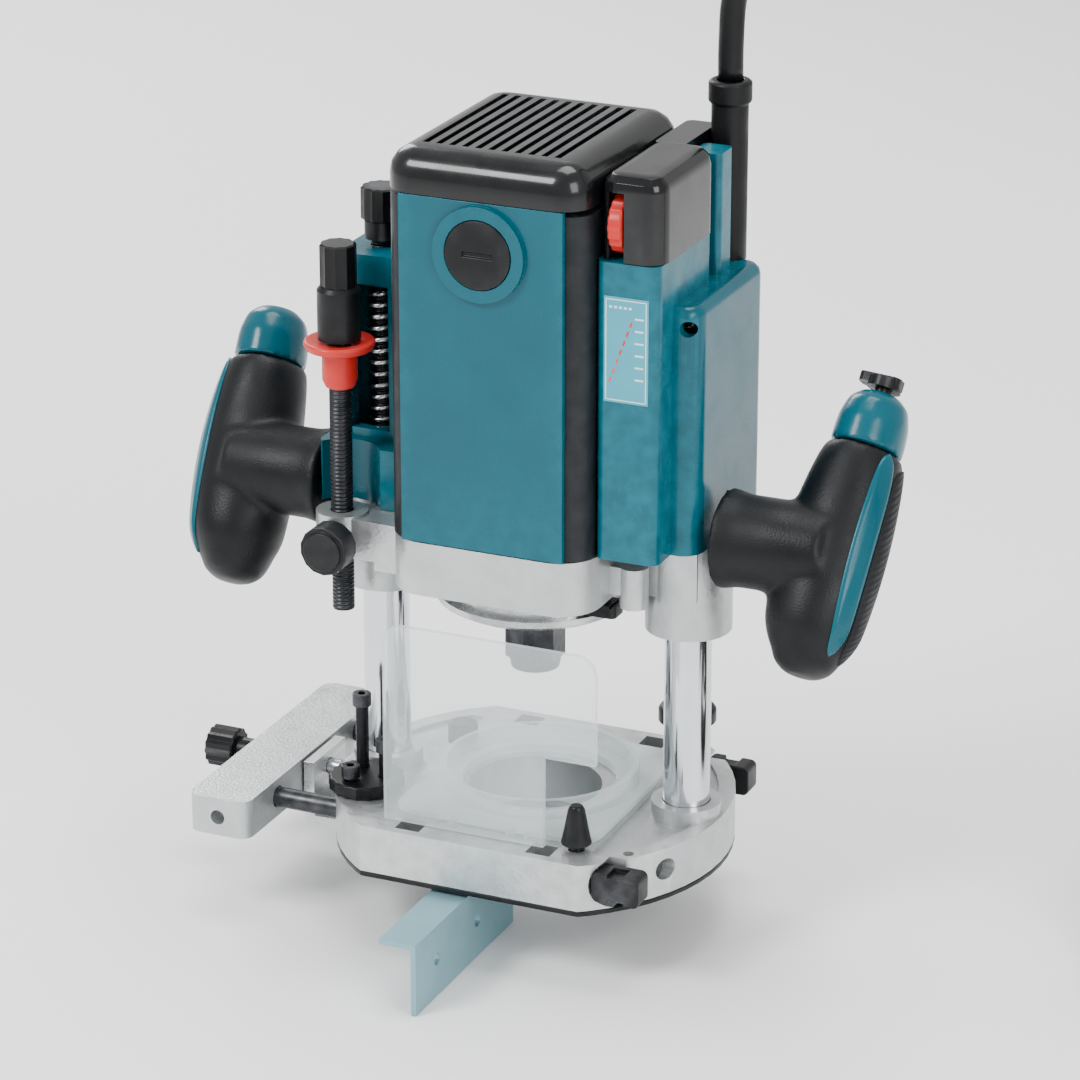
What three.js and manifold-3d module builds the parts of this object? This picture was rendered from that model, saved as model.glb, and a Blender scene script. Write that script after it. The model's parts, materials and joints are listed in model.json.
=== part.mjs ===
// A plunge router with its straight guide: base and columns, a sprung head with motor housing and
// two handles, spindle, depth stop, turret, guide fence and power cord.
// Millimetres, +Z up, +X to the right handle, +Y to the back. The origin is on the spindle axis,
// at the underside of the sole. The router is at the top of its plunge.
import * as THREE from "three";
import { mergeVertices } from "three/addons/utils/BufferGeometryUtils.js";
import Module from "manifold-3d";

const wasm = await Module();
wasm.setup();

// ---------------------------------------------------------------- driving dimensions
const GAP = 0.3; // between pieces that touch
const PLUNGE = 60;

const BASE_R = 77.5; // the base is a disc with a flat at the front and at the back
const BASE_FLAT = 63;
const BASE_TOP = 21;
const SOLE_T = 2;
const OPENING_R = 26; // round opening for the cutter
const COLUMN_X = 63;
const COLUMN_R = 9;
const COLUMN_BORE_R = 6.5;
const COLUMN_FOOT = 6; // depth of the column sockets above the sole's underside
const COLUMN_TOP = 136;
const BOSS_TOP = 26;

const BRACKET_BOTTOM = 97; // the lowest part of the head's casting, at the columns
const BRACKET_TOP = 134;
const CASE_X = 40; // motor case half width and half depth
const CASE_Y = 46.5;
const CASE_CORNER = 9;
const CASE_TOP = 266;
const CASE_WALL = 3;
const CAP_TOP = 284;
const PANEL_X = 32.4;
const PANEL_FACE = 49.2; // distance of the front panel's face from the spindle axis
const BRUSH_Z = 249;

const SPINDLE_R = 6;
const NUT_BOTTOM = 71;
const NUT_TOP = 92;

const POLE = { x: -66, y: -31, r: 4.25, bottom: 95, top: 212 };
const TURRET = { x: -58.3, y: -29.5, r: 14.8, top: 26.5 };
const CLAMP_SCREW_X = -62.5; // screw that clamps the pole
const STOP_RADIUS = Math.hypot(POLE.x - TURRET.x, POLE.y - TURRET.y);
const ROD_Y = 35; // guide rods
const ROD_Z = 12.5;
const ROD_R = 4;
const BAR = { x0: -120, x1: -94, y: 60, z0: 4.5, z1: 20 };
const FENCE = { face: -1, bottom: -30, y: 107, notch: 19 };
const CARRIAGE_X = -93.4; // left face of the fence carriage's upright

const NECK = { y: -9, z: 138.4, r: 17.5 }; // axis of the two handle necks
const GRIP = { foot: [117, -26, 95], tip: [125, 35, 187], flat: 0.8 }; // right grip's axis
const DIAL = { x: 48, y: -28.5, z: 261.5, r: 11.5 };
const GUARD = { x: 60, y: 42, bottom: 231, top: 298 };

const CORD_R = 4.75;
const FLOOR = FENCE.bottom;
const COIL = { x: 281, y: 65, ring: 57, width: 19.4, height: 28.8 };

// ---------------------------------------------------------------- solids
const AXES = {
  x: new THREE.Matrix4().makeRotationZ(-Math.PI / 2), // turns +Y to +X
  y: new THREE.Matrix4(),
  z: new THREE.Matrix4().makeRotationX(Math.PI / 2), // turns +Y to +Z
};

/** A closed three.js geometry as a manifold-3d solid. */
function solid(geometry) {
  const bare = geometry.clone();
  bare.deleteAttribute("normal");
  bare.deleteAttribute("uv");
  const merged = mergeVertices(bare, 1e-4);
  const mesh = new wasm.Mesh({
    numProp: 3,
    vertProperties: merged.attributes.position.array,
    triVerts: new Uint32Array(merged.index.array),
  });
  return new wasm.Manifold(mesh);
}

/** A manifold-3d solid as a three.js geometry with flat-shaded normals. */
function geometryOf(body) {
  const mesh = body.getMesh();
  const geometry = new THREE.BufferGeometry();
  geometry.setAttribute("position", new THREE.BufferAttribute(mesh.vertProperties, 3));
  geometry.setIndex(new THREE.BufferAttribute(mesh.triVerts, 1));
  geometry.computeVertexNormals();
  return geometry;
}

const join = (...bodies) => bodies.reduce((a, b) => a.add(b));
const cut = (body, ...tools) => tools.reduce((a, b) => a.subtract(b), body);

function box(x0, x1, y0, y1, z0, z1) {
  const geometry = new THREE.BoxGeometry(x1 - x0, y1 - y0, z1 - z0);
  return solid(geometry.translate((x0 + x1) / 2, (y0 + y1) / 2, (z0 + z1) / 2));
}

/** A cylinder or cone along an axis from a to b; u and v are its centre on the other two axes. */
function rod(axis, radius, a, b, u = 0, v = 0, sides = 32, endRadius = radius) {
  const geometry = new THREE.CylinderGeometry(endRadius, radius, b - a, sides);
  geometry.applyMatrix4(AXES[axis]);
  const middle = (a + b) / 2;
  const place = { x: [middle, u, v], y: [u, middle, v], z: [u, v, middle] }[axis];
  return solid(geometry.translate(...place));
}

/** A turned piece along Z from [radius, height] points. */
function turned(points, sides = 32) {
  const profile = points.map(([r, z]) => new THREE.Vector2(r, z));
  const geometry = new THREE.LatheGeometry(profile, sides);
  return solid(geometry.applyMatrix4(AXES.z));
}

/** An outline in X and Y raised from z0 to z1, with an optional rounding of its top edge. */
function raised(shape, z0, z1, rounding = 0, curveSegments = 6, bevelSegments = 3) {
  const geometry = new THREE.ExtrudeGeometry(shape, {
    depth: z1 - z0 - 2 * rounding,
    bevelEnabled: rounding > 0,
    bevelThickness: rounding,
    bevelSize: rounding,
    bevelOffset: -rounding,
    bevelSegments,
    curveSegments,
  });
  return solid(geometry.translate(0, 0, z0 + rounding));
}

function roundedRectangle(x0, x1, y0, y1, r) {
  const shape = new THREE.Shape();
  shape.moveTo(x0 + r, y0);
  shape.lineTo(x1 - r, y0);
  shape.absarc(x1 - r, y0 + r, r, -Math.PI / 2, 0, false);
  shape.lineTo(x1, y1 - r);
  shape.absarc(x1 - r, y1 - r, r, 0, Math.PI / 2, false);
  shape.lineTo(x0 + r, y1);
  shape.absarc(x0 + r, y1 - r, r, Math.PI / 2, Math.PI, false);
  shape.lineTo(x0, y0 + r);
  shape.absarc(x0 + r, y0 + r, r, Math.PI, 1.5 * Math.PI, false);
  return shape;
}

const roundedBox = (x0, x1, y0, y1, z0, z1, r) =>
  raised(roundedRectangle(x0, x1, y0, y1, r), z0, z1, 0, 5);

/** A knob's outline: a circle with shallow flutes. */
function flutedDisc(radius, flutes, depth, z0, z1) {
  const shape = new THREE.Shape();
  const steps = flutes * 2;
  for (let i = 0; i < steps; i++) {
    const angle = (i / steps) * 2 * Math.PI;
    const r = i % 2 ? radius - depth : radius;
    if (i === 0) shape.moveTo(r, 0);
    else shape.lineTo(r * Math.cos(angle), r * Math.sin(angle));
  }
  shape.closePath();
  return raised(shape, z0, z1, 0.6, 1, 1);
}

/** A tube along a curve. */
function tube(curve, radius, steps, sides = 10) {
  const section = new THREE.Shape();
  for (let i = 0; i < sides; i++) {
    const angle = (i / sides) * 2 * Math.PI;
    const point = [radius * Math.cos(angle), radius * Math.sin(angle)];
    if (i === 0) section.moveTo(...point);
    else section.lineTo(...point);
  }
  section.closePath();
  return solid(new THREE.ExtrudeGeometry(section, { steps, bevelEnabled: false, extrudePath: curve }));
}

const turn = (body, matrix) => solid(geometryOf(body).applyMatrix4(matrix));

// ---------------------------------------------------------------- finishes
const finish = (color, roughness, metalness = 0, opacity = 1) =>
  new THREE.MeshStandardMaterial({
    color,
    roughness,
    metalness,
    opacity,
    transparent: opacity < 1,
  });

const ALLOY = () => finish(0xdfe8ea, 0.4, 0.6);
const CHROME = () => finish(0xd9e0e2, 0.12, 1);
const STEEL = () => finish(0x9aa3a6, 0.35, 0.9);
const BLACK_STEEL = () => finish(0x161c1f, 0.4, 0.6);
const TEAL = () => finish(0x0f93a8, 0.38);
const BLACK = () => finish(0x14191c, 0.35);
const CHARCOAL = () => finish(0x2e3e45, 0.45);
const RUBBER = () => finish(0x1b1f21, 0.75);
const RED = () => finish(0xe8505a, 0.4);
const CLEAR = () => finish(0xe6f4f5, 0.08, 0, 0.25);
const PALE_STEEL = () => finish(0xa9cdd4, 0.45, 0.5);
const COPPER = () => finish(0xa65f35, 0.4, 0.9);

const router = new THREE.Group();
router.name = "plunge_router";

function piece(parent, name, body, material) {
  const mesh = new THREE.Mesh(geometryOf(body), material);
  mesh.name = name;
  parent.add(mesh);
  return mesh;
}

function group(parent, x = 0, y = 0, z = 0) {
  const made = new THREE.Group();
  made.position.set(x, y, z);
  parent.add(made);
  return made;
}

// ---------------------------------------------------------------- base
function baseOutline(z0, z1, opening) {
  const disc = rod("z", BASE_R, z0, z1, 0, 0, 56);
  const flats = box(-90, 90, -BASE_FLAT, BASE_FLAT, z0 - 1, z1 + 1);
  return cut(disc.intersect(flats), rod("z", opening, z0 - 1, z1 + 1, 0, 0, 36));
}

const CLAMP = { x: 59, y: 50, z: ROD_Z }; // the two rod clamp screws, front and back

function makeBase(base) {
  const socket = (sign) => [
    rod("z", COLUMN_R + GAP, COLUMN_FOOT, BOSS_TOP + 1, sign * COLUMN_X, 0, 28),
    rod("x", ROD_R + GAP, -90, 90, sign * ROD_Y, ROD_Z, 16),
    rod("y", 10.8, sign > 0 ? CLAMP.y : -90, sign > 0 ? 90 : -CLAMP.y, CLAMP.x, CLAMP.z, 24), // room for the wing to turn
    rod("y", 3.3, sign > 0 ? 38 : -55, sign > 0 ? 55 : -38, CLAMP.x, CLAMP.z, 12),
  ];
  const pockets = [-27, 27].flatMap((x) =>
    [-55, 55].map((y) => box(x - 5, x + 5, y - 4.5, y + 4.5, 8, BASE_TOP + 1)),
  );
  const relief = cut(
    rod("z", 71, BASE_TOP - 1.5, BASE_TOP + 1, 0, 0, 48).intersect(box(-90, 90, -50.5, 50.5, 0, 40)),
    rod("z", 13.5, 0, 40, COLUMN_X, 0),
    rod("z", 13.5, 0, 40, -COLUMN_X, 0),
    rod("z", TURRET.r + 2.5, 0, 40, TURRET.x, TURRET.y),
    box(-45, 45, -90, 90, 0, 40),
  );
  const casting = join(
    baseOutline(SOLE_T + GAP, BASE_TOP, OPENING_R),
    rod("z", 13.5, BASE_TOP - 2, BOSS_TOP, COLUMN_X, 0, 32),
    rod("z", 13.5, BASE_TOP - 2, BOSS_TOP, -COLUMN_X, 0, 32),
  );
  piece(
    base,
    "base_casting",
    cut(
      casting,
      ...socket(1),
      ...socket(-1),
      ...pockets,
      relief,
      rod("z", 3.3, 16.4, BASE_TOP + 1, TURRET.x, TURRET.y, 12), // turret pivot
      rod("z", 3.3, 12, BASE_TOP + 1, -40, 20, 12), // plate knob studs
      rod("z", 3.3, 12, BASE_TOP + 1, 43, 50, 12),
      rod("z", 3.3, 12, BASE_TOP + 1, 38.5, -49, 12),
      rod("z", 2.2, 12, BASE_TOP + 1, 58, -45, 12),
    ),
    ALLOY(),
  );
  piece(base, "sole_plate", baseOutline(0, SOLE_T, OPENING_R - 2), BLACK());

  for (const [side, sign] of [["left", -1], ["right", 1]]) {
    piece(
      base,
      `column_${side}`,
      cut(
        rod("z", COLUMN_R, COLUMN_FOOT + GAP, COLUMN_TOP, sign * COLUMN_X, 0, 28),
        rod("z", COLUMN_BORE_R, 0, COLUMN_TOP + 1, sign * COLUMN_X, 0, 20),
      ),
      CHROME(),
    );
  }
  piece(base, "limit_rod", rod("z", 4, COLUMN_FOOT + GAP, 236, -COLUMN_X, 0, 20), BLACK_STEEL());

  const plate = cut(
    join(
      roundedBox(-40, 44, -47, 46, BASE_TOP + GAP, 23.3, 10),
      rod("z", 38.5, BASE_TOP + GAP, 31, 2, 0, 40),
    ),
    rod("z", 30, 0, 26, 2, 0, 40),
    rod("z", 36, 24.5, 40, 2, 0, 40),
    rod("z", 3.5, 0, 40, -40, 20, 12),
    rod("z", 3.5, 0, 40, 38.5, -49, 12),
  );
  piece(base, "dust_ring", plate, CLEAR());

  const sheet = roundedRectangle(-39, 48, 0, 86, 8);
  const upright = solid(
    new THREE.ExtrudeGeometry(sheet, { depth: 2.6, bevelEnabled: false, curveSegments: 6 })
      .rotateX(Math.PI / 2)
      .translate(0, -51.4, 15),
  ).intersect(box(-60, 60, -60, -50, BASE_TOP + GAP, 110));
  const corner = box(27, 60, -60, -50, 0, 58); // clear of the cone knob
  const foot = cut(
    box(-18, 18, -54, -48, BASE_TOP + GAP, 24),
    rod("z", 2, 0, 40, -12, -50, 12),
    rod("z", 2, 0, 40, 12, -50, 12),
  );
  piece(base, "chip_deflector", cut(join(upright, foot), corner), CLEAR());

  const plateKnob = join(
    rod("z", 3, 13, 28, -40, 20, 16),
    turned([[0, 23.6], [6.3, 23.6], [6.3, 31], [5.2, 32.2], [0, 32.2]], 8)
      .translate([-40, 20, 0]),
  );
  piece(base, "plate_knob", plateKnob, BLACK());
  const coneKnob = turned(
    [[0, 13], [3, 13], [3, 23.6], [6, 23.6], [5.2, 27], [3.2, 37.4], [2.4, 39], [0, 39]],
    16,
  ).translate([38.5, -49, 0]);
  piece(base, "cone_knob", coneKnob, BLACK());
  const rearKnob = turned(
    [[0, 13], [3, 13], [3, 21.6], [5, 21.6], [5, 35.5], [11.5, 35.5], [11.5, 40.5], [10, 42], [0, 42]],
    24,
  ).translate([43, 50, 0]);
  piece(base, "rear_knob", rearKnob, BLACK());
}

/** The knob that sets the upper limit, on top of the threaded rod in the left column. */
function makeLimitKnob(parent) {
  const knob = group(parent, -COLUMN_X, 0, 232);
  const body = cut(
    join(flutedDisc(7.8, 12, 0.8, 9, 22), rod("z", 6.5, 2, 9.6)),
    rod("z", 4 + GAP, -1, 5, 0, 0, 20),
  );
  piece(knob, "limit_knob", body, BLACK());
}

function makeRodClamps(base) {
  for (const [place, sign] of [["front", -1], ["rear", 1]]) {
    const clamp = group(base, CLAMP.x, sign * (CLAMP.y + 1), CLAMP.z);
    const wing = cut(
      roundedBox(-9.5, 9.5, -6, 6, 0, 9.5, 2.5),
      box(-3.2, 3.2, 4.4, 8, 2, 12),
      box(-3.2, 3.2, -8, -4.4, 2, 12),
    );
    const screw = join(wing, rod("z", 3, -10.5, 1, 0, 0, 16));
    const mesh = piece(clamp, `rod_clamp_${place}`, screw, BLACK());
    mesh.rotation.x = sign < 0 ? Math.PI / 2 : -Math.PI / 2;
  }
}

function makeTurret(parent) {
  const turret = group(parent, TURRET.x, TURRET.y, 0);
  const stops = [
    { name: "stop_bolt_tall", angle: 126, top: 57 },
    { name: "stop_bolt_middle", angle: 6, top: 42 },
    { name: "stop_bolt_low", angle: 246, top: 32.5 },
  ];
  const at = ({ angle }) => [
    STOP_RADIUS * Math.cos((angle * Math.PI) / 180),
    STOP_RADIUS * Math.sin((angle * Math.PI) / 180),
  ];
  const disc = join(
    flutedDisc(TURRET.r, 18, 0.7, BASE_TOP + GAP, TURRET.top),
    rod("z", 3, 17, 22, 0, 0, 12),
  );
  const threads = stops.map((stop) => rod("z", 2.5 + GAP, BASE_TOP + 1.2, 40, ...at(stop), 16));
  piece(turret, "turret_disc", cut(disc, ...threads), BLACK());
  for (const stop of stops) {
    const head = 5;
    const bolt = cut(
      join(
        rod("z", 2.5, BASE_TOP + 1.5, stop.top - head + 1, ...at(stop), 16),
        rod("z", 3.7, stop.top - head, stop.top, ...at(stop), 20),
      ),
      rod("z", 1.6, stop.top - 3, stop.top + 1, ...at(stop), 6),
    );
    piece(turret, stop.name, bolt, BLACK_STEEL());
  }
}

// ---------------------------------------------------------------- straight guide
function makeGuide(parent) {
  const guide = group(parent);
  const bar = cut(
    roundedBox(BAR.x0, BAR.x1, -BAR.y - 1, BAR.y, BAR.z0, BAR.z1, 5),
    rod("x", ROD_R + GAP, BAR.x0 + 5, 0, ROD_Y, ROD_Z, 20),
    rod("x", ROD_R + GAP, BAR.x0 + 5, 0, -ROD_Y, ROD_Z, 20),
    rod("x", 3.5, -140, 0, 0, ROD_Z, 16),
    rod("y", 3, -70, -54, (BAR.x0 + BAR.x1) / 2, 12, 16),
  );
  piece(guide, "guide_bar", bar, ALLOY());
  for (const [place, sign] of [["front", -1], ["rear", 1]]) {
    const shaft = rod("x", ROD_R, BAR.x0 + 5 + GAP, 66, sign * ROD_Y, ROD_Z, 20);
    piece(guide, `guide_rod_${place}`, shaft, BLACK_STEEL());
  }

  const feed = group(guide, 0, 0, ROD_Z);
  const knob = turn(flutedDisc(8.4, 14, 0.8, 0, 12), AXES.z.clone().invert().premultiply(AXES.x))
    .translate([-141, 0, 0]);
  piece(
    feed,
    "feed_knob",
    cut(join(knob, rod("x", 5, -131, BAR.x0 - GAP, 0, 0, 24)), rod("x", 3 + GAP, -136, 0, 0, 0, 16)),
    BLACK(),
  );
  piece(feed, "feed_screw", rod("x", 3, -135, -83.6, 0, 0, 16), STEEL());

  const fence = group(guide);
  const { face, bottom, y, notch } = FENCE;
  const flange = box(face - 15, face, -y, y, -3.2, -1.2);
  const leg = box(face - 2, face, -y, y, bottom, -1.2);
  const holes = [-88, -52, 52, 88].map((at) => rod("x", 2.6, face - 5, face + 5, at, -15, 12));
  const angle = cut(
    join(flange, leg),
    box(face - 9, face + 5, -notch, notch, bottom - 1, 5),
    rod("z", 2.4, -10, 0, face - 12, 0, 12),
    ...holes,
  );
  piece(fence, "fence", angle, PALE_STEEL());
  const carriage = cut(
    join(
      box(CARRIAGE_X, CARRIAGE_X + 4.5, -14, 14, -6.5, 19),
      box(CARRIAGE_X, face - 10, -14, 14, -6.5, -3.5),
    ),
    rod("x", 3 + GAP, -100, -80, 0, ROD_Z, 16),
    rod("z", 2.4, -10, 0, face - 12, 0, 12),
  );
  piece(fence, "fence_carriage", carriage, ALLOY());
}

// ---------------------------------------------------------------- head
const columnBores = (radius) =>
  [-1, 1].map((sign) => rod("z", radius, 0, 300, sign * COLUMN_X, 0, 28));

function makeBracket(head) {
  const mid = BRACKET_BOTTOM + 16;
  const bodies = [
    roundedBox(-41, 41, -49.4, 49.4, mid, BRACKET_TOP, 16),
    rod("z", 38, mid - 4, mid + 1, 0, 0, 40, 44),
    rod("z", 10, mid, BRACKET_TOP + 1, POLE.x, POLE.y, 24),
    box(-66, -40, -38, -20, mid + 2, BRACKET_TOP),
    rod("z", 5.5, mid - 3, BRACKET_TOP - 8, 49, -20, 16),
    box(38, 49, -24, -16, mid + 2, BRACKET_TOP - 8),
  ];
  for (const sign of [-1, 1]) {
    bodies.push(rod("z", 16.5, BRACKET_BOTTOM, BRACKET_TOP, sign * COLUMN_X, 0, 32));
    bodies.push(box(sign > 0 ? 30 : -72, sign > 0 ? 72 : -30, -15, 15, mid, BRACKET_TOP));
  }
  const casting = cut(
    join(...bodies),
    ...columnBores(COLUMN_R + 0.35),
    rod("z", 17.5 + GAP, 0, 300, 0, 0, 32),
    roundedBox(-34, 34, -42, 42, mid + 7, 300, 12),
    rod("z", POLE.r + GAP, 0, 300, POLE.x, POLE.y, 24),
    rod("y", 3 + GAP, -60, POLE.y - 4, CLAMP_SCREW_X, 126.5, 16),
    rod("z", STOP_RADIUS + 4.4, BRACKET_BOTTOM - 1, mid + 5.5, TURRET.x, TURRET.y, 24), // clears the stop bolts at full plunge
  );
  piece(head, "motor_bracket", casting, ALLOY());

  const retainer = cut(
    join(
      rod("z", 34, 98.5, 100.5, 0, 0, 40, 37.5),
      rod("z", 37.5, 100.5, 103, 0, 0, 40),
      rod("z", 34, 102, 108.7, 0, 0, 40),
    ),
    rod("z", 15.5, 0, 300, 0, 0, 28),
    box(20, 60, -21.4, -10.6, 103.2, 120), // guides the shaft lock
  );
  piece(head, "bearing_retainer", retainer, ALLOY());
}

function makeCase(head) {
  const start = BRACKET_TOP + GAP;
  const outer = roundedRectangle(-CASE_X, CASE_X, -CASE_Y, CASE_Y, CASE_CORNER);
  const w = CASE_WALL;
  const inner = roundedBox(-CASE_X + w, CASE_X - w, -CASE_Y + w, CASE_Y - w, 0, CASE_TOP - 8, CASE_CORNER - w);
  const vents = [-27, -18, 18, 27].flatMap((x) => [-20, 20].map((y) => box(x - 3, x + 3, y - 14, y + 14, 200, 300)));
  const brushHole = rod("y", 9 + GAP, -60, 60, 0, BRUSH_Z, 28);
  piece(
    head,
    "field_case",
    cut(raised(outer, start, CASE_TOP, 0, 6), inner, brushHole, rod("z", SPINDLE_R + GAP, 0, 300, 0, 0, 20), ...vents),
    CHARCOAL(),
  );
  for (const [place, sign] of [["front", -1], ["rear", 1]]) {
    const near = CASE_Y + GAP;
    const panel = cut(
      join(
        box(-PANEL_X, PANEL_X, near, PANEL_FACE, start, CASE_TOP + 2),
        rod("y", 18, near, PANEL_FACE + 2.2, 0, BRUSH_Z, 40),
      ),
      rod("y", 13 + GAP, PANEL_FACE + 0.2, 70, 0, BRUSH_Z, 32),
      rod("y", 9 + GAP, 0, 70, 0, BRUSH_Z, 28),
    );
    const cap = cut(
      join(
        rod("y", 13, PANEL_FACE + 0.5, PANEL_FACE + 2.6, 0, BRUSH_Z, 32),
        rod("y", 9, 34, PANEL_FACE + 1, 0, BRUSH_Z, 28),
        box(-4, 4, 17.5, 35, BRUSH_Z - 5, BRUSH_Z + 5),
      ),
      box(-6, 6, PANEL_FACE + 1.6, 70, BRUSH_Z - 0.9, BRUSH_Z + 0.9),
    );
    const side = group(head);
    side.rotation.z = sign < 0 ? Math.PI : 0;
    piece(side, `${place}_panel`, panel, TEAL());
    piece(side, `brush_cap_${place}`, cap, BLACK());
  }
}

function makeTopCap(head) {
  const bottom = CASE_TOP + 2 + GAP;
  const outline = roundedRectangle(-CASE_X, CASE_X, -PANEL_FACE, CASE_Y + 1.5, 12);
  const shell = raised(outline, bottom - 14, CAP_TOP, 10, 4, 4).intersect(box(-60, 60, -60, 60, bottom, 300));
  const slots = [];
  for (let x = -29; x <= 26; x += 5.2) slots.push(box(x, x + 2.4, -35, 36, CAP_TOP - 8, 300));
  const hollow = roundedBox(-CASE_X + 3.5, CASE_X - 3.5, -CASE_Y + 2, CASE_Y - 3, 0, CAP_TOP - 5, 9);
  piece(head, "top_cap", cut(shell, hollow, ...slots), BLACK());
}

function makeTowers(head) {
  const start = BRACKET_TOP + GAP;
  const left = cut(
    join(
      roundedBox(-80, -CASE_X - GAP, -24, 26, start, 158, 5),
      roundedBox(-74, -CASE_X - GAP, -14, 20, 150, 226, 5),
      roundedBox(-75, -CASE_X - GAP, -15, 21, 220, 231, 6),
    ),
    rod("z", COLUMN_R + 1, 0, 222, -COLUMN_X, 0, 32),
    box(-70, -54, -30, 0, 162, 219),
    rod("z", 4 + GAP, 0, 300, -COLUMN_X, 0, 20),
    rod("z", 14.5, 0, 300, POLE.x, POLE.y, 28),
    box(-85, -CASE_X - 5, -60, POLE.y + 5, 0, 300),
  );
  piece(head, "left_tower", left, TEAL());

  const right = cut(
    join(
      raised(roundedRectangle(CASE_X + GAP, 75, -24, 44, 8), start - 10, 230, 4, 4)
        .intersect(box(0, 90, -60, 60, start, 240)),
      roundedBox(CASE_X + GAP, 65, -38, 14, start, 248.5, 4),
      roundedBox(54.5, 66, 18, 31, 222, 276, 2.5),
    ),
    roundedBox(CASE_X + 3, 72, -20.5, 40.5, 0, 226, 6),
    roundedBox(CASE_X + 3, 62, -35, 12, 0, 226, 4),
    rod("z", 7 + GAP, 228, 300, GUARD.x, GUARD.y, 20),
    rod("y", 3, -40, -10, 70.5, 222, 16),
  );
  piece(head, "right_tower", right, TEAL());

  const cover = join(
    raised(roundedRectangle(CASE_X + 1, 66, -38, 15.5, 8), 236, 281, 6, 4)
      .intersect(box(0, 90, -60, 60, 248.5 + GAP, 300)),
    roundedBox(CASE_X + 1, 53, 14, 48, 232, 279, 3),
  );
  const dialSlot = box(DIAL.x - 3.3, DIAL.x + 3.3, -60, DIAL.y + DIAL.r + 1, DIAL.z - 13, DIAL.z + 13);
  piece(head, "control_cover", cut(cover, dialSlot), BLACK());

  const dial = group(head, DIAL.x, DIAL.y, DIAL.z);
  const wheel = flutedDisc(DIAL.r, 20, 0.6, -2.7, 2.7);
  const dialMesh = piece(dial, "speed_dial", wheel, RED());
  dialMesh.rotation.y = Math.PI / 2;

  const guard = cut(
    turned([
      [0, GUARD.bottom - 2], [7, GUARD.bottom - 2], [7, GUARD.top - 9], [8.2, GUARD.top - 8],
      [8.2, GUARD.top - 1], [7, GUARD.top], [0, GUARD.top],
    ], 24).translate([GUARD.x, GUARD.y, 0]),
    rod("z", CORD_R + GAP, GUARD.top - 12, 400, GUARD.x, GUARD.y, 20),
  );
  piece(head, "cord_guard", guard, RUBBER());
}

// ---------------------------------------------------------------- handles
/** The grip's profile along its axis, as [radius, distance from the foot]. */
const GRIP_LENGTH = Math.hypot(...GRIP.tip.map((v, i) => v - GRIP.foot[i]));
const GRIP_SPLIT = 88; // where the coloured end cap starts
const gripProfile = [
  [0, 0], [8, 0.8], [13.5, 4], [16.6, 9.5], [17.8, 20], [18, 52], [17.2, GRIP_SPLIT], [0, GRIP_SPLIT],
];
const capProfile = [
  [0, GRIP_SPLIT + GAP], [17.1, GRIP_SPLIT + GAP], [16.5, 99], [14, 106], [9, GRIP_LENGTH - 1], [0, GRIP_LENGTH],
];

function alongGrip(body, sign) {
  const foot = new THREE.Vector3(sign * GRIP.foot[0], GRIP.foot[1], GRIP.foot[2]);
  const tip = new THREE.Vector3(sign * GRIP.tip[0], GRIP.tip[1], GRIP.tip[2]);
  const lean = new THREE.Quaternion().setFromUnitVectors(
    new THREE.Vector3(0, 0, 1),
    tip.clone().sub(foot).normalize(),
  );
  return turn(body, new THREE.Matrix4().compose(foot, lean, new THREE.Vector3(GRIP.flat, 1, 1)));
}

function makeHandles(head) {
  for (const [side, sign] of [["left", -1], ["right", 1]]) {
    const neck = solid(
      new THREE.LatheGeometry(
        [[0, 0], [19.3, 0], [NECK.r, 8], [NECK.r, 22], [16, 42], [0, 42]].map((p) => new THREE.Vector2(...p)),
        28,
      ).applyMatrix4(AXES.x),
    );
    const place = new THREE.Matrix4().makeTranslation(sign * (80 + GAP), NECK.y, NECK.z);
    if (sign < 0) place.multiply(new THREE.Matrix4().makeRotationZ(Math.PI));
    const grip = join(alongGrip(turned(gripProfile, 28), sign), turn(neck, place));
    const pocket = triggerSolid(0.6, 4.6);
    const body = sign > 0 ? cut(grip, alongGrip(pocket, sign)) : grip;
    piece(head, `handle_${side}`, body, BLACK());
    let cap = turned(capProfile, 28);
    if (sign > 0) cap = cut(cap, rod("z", 4 + GAP, GRIP_LENGTH - 9, GRIP_LENGTH + 9, 0, 0, 20));
    piece(head, `handle_cap_${side}`, alongGrip(cap, sign), TEAL());
  }
  const trigger = group(head);
  piece(trigger, "trigger", alongGrip(triggerSolid(0, 0), 1), BLACK());

  const lever = join(
    rod("z", 4, GRIP_LENGTH - 8, GRIP_LENGTH + 4, 0, 0, 20),
    roundedBox(-12, 8, -5, 5, GRIP_LENGTH + 2.5, GRIP_LENGTH + 6, 3),
    rod("z", 8, GRIP_LENGTH + 1.2, GRIP_LENGTH + 5, 0, 0, 24),
  );
  piece(group(head), "lock_lever", alongGrip(lever, 1), BLACK());
}

/** The trigger paddle on the back of the right grip, in the grip's own frame. */
function triggerSolid(margin, travel) {
  return roundedBox(-6 - margin, 6 + margin, 9 - travel, 22 + travel, 46 - margin, 82 + margin, 2);
}

// ---------------------------------------------------------------- levers and buttons on the head
function makeControls(head) {
  const lever = group(head, -COLUMN_X, 17, 115);
  const arm = join(
    rod("y", 7, GAP, 9, 0, 0, 24),
    box(-4, 4, 3, 9, -21, 0),
    rod("y", 5.5, 3, 9, 0, -21, 20),
  );
  piece(lever, "plunge_lock_lever", arm, BLACK());
  const button = cut(
    roundedBox(27, 41.5, -21, -11, 103.6, 108.4, 2),
    box(39.4, 40.4, -30, 0, 107.6, 112),
  );
  piece(group(head), "shaft_lock", button, BLACK());
}

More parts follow.
